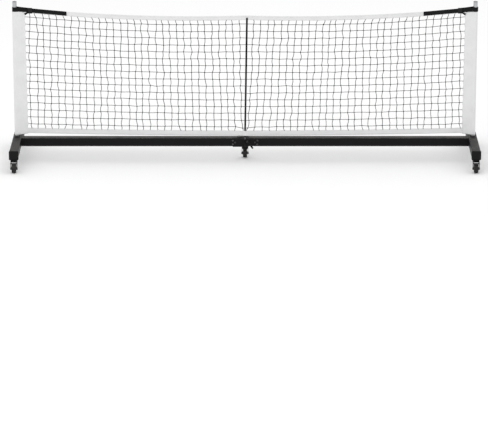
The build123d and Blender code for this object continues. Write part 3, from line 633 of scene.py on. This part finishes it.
white_vinyl = cloth("white_vinyl", dark=(0.66, 0.66, 0.665), light=(0.78, 0.78, 0.785), pitch=0.0011,
                    bump=0.35, roughness=0.55, specular=0.3)
THREAD_SHADOW = (0.64, 0.64, 0.645)
THREAD_WHITE = (0.78, 0.78, 0.78)
white_thread, thread_shader = node_material("sewing_thread", (0.72, 0.72, 0.72), 0.7)
tree = white_thread.node_tree
ply = noise_node(tree, 1400, 3)
twisted = mix_colors(tree, ply.outputs["Fac"], THREAD_SHADOW, THREAD_WHITE)
tree.links.new(twisted, thread_shader.inputs["Base Color"])
tree.links.new(ramp_node(tree, ply.outputs["Fac"], 0.6, 0.8), thread_shader.inputs["Roughness"])
tree.links.new(bump_node(tree, ply.outputs["Fac"], 0.4, 0.0002), thread_shader.inputs["Normal"])

TAPE_END = 1.2735
TAPE_HEIGHT = 0.027
FOOT_TAPE_HEIGHT = 0.031
LEAF_GAP = 0.0013
TAPE_CLOTH = 0.0008
FOLD_CLOSING = 0.0035
RIPPLE_DEPTH = 0.0011
FINE_RIPPLE_DEPTH = 0.0004
RIPPLE_RATE = (9, 1.2)
FINE_RIPPLE_RATE = (38, 2.5)
TAPE_GRID = (360, 26)
KNOT_PULL = 0.0007
KNOT_PULL_RATE = 24.4
FOOT_BULGE = 0.0115
FOOT_BULGE_REACH = 0.028


def unrolled_grid(along, across, shape):
    """Shape a grid: shape(u, v) gives each vertex its place, and its place on the flat cloth as UV."""
    mesh = bmesh.new()
    bmesh.ops.create_grid(mesh, x_segments=along, y_segments=across, size=0.5)
    flat = mesh.loops.layers.uv.new("flat")
    for corner in (loop for face in mesh.faces for loop in face.loops):
        corner[flat].uv = shape(corner.vert.co.x + 0.5, corner.vert.co.y + 0.5)[1]
    for vertex in mesh.verts:
        vertex.co = shape(vertex.co.x + 0.5, vertex.co.y + 0.5)[0]
    return mesh


def cloth_piece(name, mesh, thickness, material):
    """Give a shaped sheet its thickness and finish."""
    bmesh.ops.recalc_face_normals(mesh, faces=mesh.faces)
    bmesh.ops.solidify(mesh, geom=mesh.faces[:], thickness=thickness)
    bmesh.ops.recalc_face_normals(mesh, faces=mesh.faces)
    piece = new_piece(name, mesh, smooth=True)
    piece.data.materials.append(material)
    return piece


def foot_bulge(x):
    """How far the bottom tape swings forward to pass the centre rod's foot."""
    return -FOOT_BULGE * math.exp(-((x / FOOT_BULGE_REACH) ** 2))


def folded_tape(name, fold_height, height, hang, cord, phase):
    """Build a strip folded over an edge of the net, down its back, round the cord and up its front."""
    round_run = math.pi * cord / 2
    total = 2 * (height - cord + round_run)

    def shape(u, v):
        x = (2 * u - 1) * TAPE_END
        run = abs(v - 0.5) * total
        side = -1 if v < 0.5 else 1
        if run < round_run:
            y = side * cord * math.sin(run / cord)
            drop = cord - cord * math.cos(run / cord)
        else:
            drop = cord + run - round_run
            y = side * (LEAF_GAP + (cord - LEAF_GAP) * math.exp(-((drop - cord) / FOLD_CLOSING) ** 2))
        share = drop / height
        ripple = noise.noise(Vector((x * RIPPLE_RATE[0], share * RIPPLE_RATE[1], phase)))
        fine = noise.noise(Vector((x * FINE_RIPPLE_RATE[0], share * FINE_RIPPLE_RATE[1], phase + side)))
        pull = noise.noise(Vector((x * KNOT_PULL_RATE, 0.3, phase + 7)))
        bulge = foot_bulge(x) if hang < 0 else 0
        y += RIPPLE_DEPTH * ripple + FINE_RIPPLE_DEPTH * fine + bulge
        z = fold_height(x) - hang * (drop + KNOT_PULL * pull * share)
        return Vector((x, y, z)), (x, v * total)

    tape = cloth_piece(name, unrolled_grid(*TAPE_GRID, shape), TAPE_CLOTH, white_vinyl)
    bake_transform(tape)
    return tape


top_tape = folded_tape("top_tape", tape_top, TAPE_HEIGHT, hang=1, cord=0.0034, phase=11)
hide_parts("top_tape_left", "top_tape_right", "rod_pocket")
bottom_tape = folded_tape("bottom_tape", foot_tape_bottom, FOOT_TAPE_HEIGHT, hang=-1, cord=0.0018, phase=29)
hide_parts("bottom_tape_left", "bottom_tape_right")

# Both leaves of each tape are sewn together with a row of lockstitch near their free edges.
STITCH_PITCH = 0.0052
STITCH_LIFT = 0.0005
SEWN_LENGTHS = 6
SLOPE_STEP = 0.01
STITCH_HALF_SIZE = (0.0019, 0.00042, 0.00042, 1)
SEAM_INSET = 0.0032


def sewn_row(mesh, count, place):
    """Add a row of small raised stitches to a bmesh, each at the matrix that place(step) gives."""
    batch = bmesh.new()
    for step in range(count):
        spot = place(step) @ Matrix.Diagonal(STITCH_HALF_SIZE)
        bmesh.ops.create_uvsphere(batch, u_segments=6, v_segments=4, radius=1, matrix=spot)
    row_of_stitches = bpy.data.meshes.new("row_of_stitches")
    batch.to_mesh(row_of_stitches)
    batch.free()
    mesh.from_mesh(row_of_stitches)


def stitch_piece(name, mesh):
    """Finish a piece made of stitches."""
    stitches = new_piece(name, mesh, smooth=True)
    stitches.data.materials.append(white_thread)
    return stitches


def along_tape(height_at, face, first, last):
    """Return the place of each stitch on one face of a tape between two distances from the middle."""
    def place(step):
        x = first + (step + 0.5) * STITCH_PITCH
        bulge = foot_bulge(x) if height_at is foot_seam else 0
        slope = math.atan2(height_at(x + SLOPE_STEP) - height_at(x - SLOPE_STEP), 2 * SLOPE_STEP)
        spot = Vector((x, face * (LEAF_GAP + TAPE_CLOTH + STITCH_LIFT) + bulge, height_at(x)))
        return Matrix.Translation(spot) @ Matrix.Rotation(-slope, 4, "Y")
    return place, int((last - first) / STITCH_PITCH)


def top_seam(x):
    """Height of the seam near the top tape's lower edge."""
    return tape_top(x) - TAPE_HEIGHT + SEAM_INSET


def foot_seam(x):
    """Height of the seam near the bottom tape's upper edge."""
    return foot_tape_bottom(x) + FOOT_TAPE_HEIGHT - SEAM_INSET


for name, seam in (("top_tape_stitches", top_seam), ("bottom_tape_stitches", foot_seam)):
    stitch_mesh = bmesh.new()
    for face in (-1, 1):
        for length in range(SEWN_LENGTHS):
            begin = -TAPE_END + 2 * TAPE_END * length / SEWN_LENGTHS
            stitch_place, count = along_tape(seam, face, begin, begin + 2 * TAPE_END / SEWN_LENGTHS)
            sewn_row(stitch_mesh, count, stitch_place)
    stitches = stitch_piece(name, stitch_mesh)
    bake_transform(stitches)

# ---------------------------------------------------------------- side tapes
# The same white cloth, folded round each post as a sleeve and sewn flat beside it. The net pulls its inner
# edge into shallow scallops, and the cloth gathers into creases towards its foot.

SIDE_TAPE_LOW = 0.148
SIDE_TAPE_HIGH = 0.8885
SLEEVE = 0.0138
SEAM = 0.057
FLARE = 0.007
CLOTH = 0.001
SIDE_CLOTH = CLOTH * 0.8
POST_RADIUS = 0.0125
LOOSE_WIDTH = 0.05
SCALLOP = 0.0018
FIRST_SCALLOP = 0.21
SCALLOP_PITCH = 0.0428
GATHER_HEIGHT = 0.05
CREASE_DEPTH = 0.0011
CREASE_RATE = (45, 7)
PUCKER_DEPTH = 0.0016
PUCKER_RATE = (70, 60)
TIGHT_SHARE = 0.4
FLARE_PIVOT = 0.4
FOOT_SINK = 0.004
FOOT_PUCKER = 0.0015
SIDE_GRID = (150, 64)
post_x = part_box("right_post")[0].x + POST_RADIUS


def sleeve_place(s):
    """Section of the folded cloth at a share s of its width: across, depth, run from an edge, whole width."""
    flat = post_x - SEAM - SIDE_TAPE_INNER
    tangent = math.acos((SLEEVE - CLOTH) / SEAM)
    straight = SEAM * math.sin(tangent)
    arc = 2 * (math.pi - tangent) * SLEEVE
    total = 2 * flat + 2 * straight + arc
    run = min(s, 1 - s) * total
    side = -1 if s < 0.5 else 1
    if run < flat:
        return SIDE_TAPE_INNER + run, side * CLOTH, run, total
    touch_x = post_x - SLEEVE * math.cos(tangent)
    touch_y = SLEEVE * math.sin(tangent)
    if run < flat + straight:
        share = (run - flat) / straight
        across = (post_x - SEAM) + share * (touch_x - post_x + SEAM)
        return across, side * (CLOTH + share * (touch_y - CLOTH)), run, total
    angle = tangent + (run - flat - straight) / SLEEVE
    return post_x - SLEEVE * math.cos(angle), side * SLEEVE * math.sin(angle), run, total


def side_shape(sign):
    """Return the shape of one side tape."""
    def shape(u, v):
        across, depth, run, total = sleeve_place(v)
        z = SIDE_TAPE_LOW + u * (SIDE_TAPE_HIGH - SIDE_TAPE_LOW)
        loose = 1 - min(1, run / LOOSE_WIDTH)
        row_share = (z - FIRST_SCALLOP) / SCALLOP_PITCH
        scallop = -SCALLOP * math.cos(2 * math.pi * row_share) * loose
        gather = math.exp(-((z - SIDE_TAPE_LOW) / GATHER_HEIGHT))
        crease = noise.noise(Vector((across * CREASE_RATE[0], z * CREASE_RATE[1], sign * 5)))
        pucker = noise.noise(Vector((across * PUCKER_RATE[0], z * PUCKER_RATE[1], sign * 9)))
        slack = TIGHT_SHARE + (1 - TIGHT_SHARE) * loose
        depth += (CREASE_DEPTH * crease + PUCKER_DEPTH * gather * pucker) * slack
        widen = FLARE * (FLARE_PIVOT - u) * loose
        sink = FOOT_SINK * gather * loose + FOOT_PUCKER * gather * pucker
        return Vector((sign * (across + scallop - widen), depth, z + sink)), (z, (v - 0.5) * total)
    return shape


for side, sign in SIDES:
    side_mesh = unrolled_grid(*SIDE_GRID, side_shape(sign))
    side_tape = cloth_piece(f"side_tape_{side}_cloth", side_mesh, SIDE_CLOTH, white_vinyl)
    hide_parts(f"side_tape_{side}")
    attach(side_tape, f"{side}_half")


def beside_edge(sign, face):
    """Return the place of each stitch beside the inner edge of one face of a side tape."""
    def place(step):
        u = (step + 0.5) * STITCH_PITCH / (SIDE_TAPE_HIGH - SIDE_TAPE_LOW)
        share = 0.5 + face * (0.5 - SEAM_INSET / sleeve_place(0)[3])
        spot = side_shape(sign)(u, share)[0] + Vector((0, face * SIDE_CLOTH, 0))
        return Matrix.Translation(spot) @ Matrix.Rotation(math.pi / 2, 4, "Y")
    return place


SIDE_STITCHES = int((SIDE_TAPE_HIGH - SIDE_TAPE_LOW) / STITCH_PITCH)
for side, sign in SIDES:
    stitch_mesh = bmesh.new()
    for face in (-1, 1):
        sewn_row(stitch_mesh, SIDE_STITCHES, beside_edge(sign, face))
    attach(stitch_piece(f"side_tape_{side}_stitches", stitch_mesh), f"{side}_half")

# ---------------------------------------------------------------- tension straps
# Black ribbed webbing, 25 mm wide, sewn over each end of the top tape and taken round the post to pull the
# net tight. A moulded buckle locks it, and a short loose tail hangs down outside the buckle.

ribbed_webbing = cloth("ribbed_webbing", dark=(0.004, 0.004, 0.0045), light=(0.011, 0.011, 0.012),
                       pitch=0.0016, bump=0.8, roughness=0.8, specular=0.15)
buckle_plastic = coated(
    "buckle_plastic", dark=(0.006, 0.006, 0.0065), light=(0.01, 0.01, 0.0105), worn_color=(0.03, 0.03, 0.03),
    smooth=0.4, rough=0.55, grain_scale=1500, bump=0.25, dust_amount=0.2, specular=0.2)
STRAP_WIDTH = 0.025
STRAP_INNER = 1.035
STRAP_LOOP = 0.0145
STRAP_BEHIND = 0.09
STRAP_FRONT = 0.0048
STRAP_BACK = 0.0055
STRAP_SPREAD = 0.06
STRAP_LIFT = 0.0008
STRAP_WAVE = 0.0005
STRAP_WAVE_RATE = (30, 2)
STRAP_GRID = (220, 8)
STRAP_CLOTH = 0.0016
TAIL_CLOTH = 0.0015
NET_HEIGHT = 0.914
TAIL_ROOT = 1.251
TAIL_TUCK = 0.002
TAIL_REACH = 0.026
TAIL_DROP = 0.0125
TAIL_LENGTH = 0.031
TAIL_ROOT_WIDTH = 0.006
TAIL_END_WIDTH = 0.0125
TAIL_SLANT = (0.45, 0.9)
TAIL_FALL = 1.3
TAIL_FRONT = 0.0088
TAIL_BELLY = 0.004
TAIL_GRID = (24, 4)


def strap_top(x):
    """Height of the strap's upper edge."""
    rise = (NET_HEIGHT - tape_top(STRAP_INNER)) / (post_x - POST_RADIUS - STRAP_INNER)
    return min(NET_HEIGHT, tape_top(STRAP_INNER) + rise * (abs(x) - STRAP_INNER)) + STRAP_LIFT


def strap_shape(sign):
    """Return the shape of one strap: along the front of the tape, round the post and back behind it."""
    straight = post_x - STRAP_INNER
    arc = math.pi * STRAP_LOOP
    total = straight + arc + STRAP_BEHIND

    def shape(u, v):
        run = u * total
        if run < straight:
            x = STRAP_INNER + run
            opening = max(0, run - straight + STRAP_SPREAD) / STRAP_SPREAD
            y = -STRAP_FRONT - (STRAP_LOOP - STRAP_FRONT) * opening ** 1.5
        elif run < straight + arc:
            angle = (run - straight) / STRAP_LOOP
            x = post_x + STRAP_LOOP * math.sin(angle)
            y = -STRAP_LOOP * math.cos(angle)
        else:
            back_run = run - straight - arc
            x = post_x - back_run
            y = STRAP_LOOP - (STRAP_LOOP - STRAP_BACK) * min(1, back_run / STRAP_SPREAD)
        z = strap_top(x) - STRAP_WIDTH * (1 - v)
        wave = STRAP_WAVE * noise.noise(Vector((run * STRAP_WAVE_RATE[0], v * STRAP_WAVE_RATE[1], sign * 4)))
        return Vector((sign * x, y + wave, z)), (run, v * STRAP_WIDTH)
    return shape


def tail_shape(sign, root_x, root_z):
    """Return the shape of the loose tail, which falls outwards from the strap's lower edge and spreads."""
    def shape(u, v):
        width = (v - 0.5) * (TAIL_ROOT_WIDTH + (TAIL_END_WIDTH - TAIL_ROOT_WIDTH) * u)
        x = root_x + TAIL_REACH * u + TAIL_SLANT[0] * width
        z = root_z - TAIL_DROP * u ** TAIL_FALL + TAIL_SLANT[1] * width
        y = -TAIL_FRONT - TAIL_BELLY * math.sin(math.pi * u)
        return Vector((sign * x, y, z)), (u * TAIL_LENGTH, v * TAIL_END_WIDTH)
    return shape


for side, sign in SIDES:
    strap_mesh = unrolled_grid(*STRAP_GRID, strap_shape(sign))
    strap = cloth_piece(f"tension_strap_{side}_webbing", strap_mesh, STRAP_CLOTH, ribbed_webbing)
    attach(strap, f"{side}_half")
    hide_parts(f"tension_strap_{side}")
    tail_height = strap_top(TAIL_ROOT) - STRAP_WIDTH + TAIL_TUCK
    tail_mesh = unrolled_grid(*TAIL_GRID, tail_shape(sign, TAIL_ROOT, tail_height))
    tail = cloth_piece(f"strap_tail_{side}", tail_mesh, TAIL_CLOTH, ribbed_webbing)
    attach(tail, f"{side}_half")
    finish_node([f"strap_buckle_{side}"], buckle_plastic)

low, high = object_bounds()
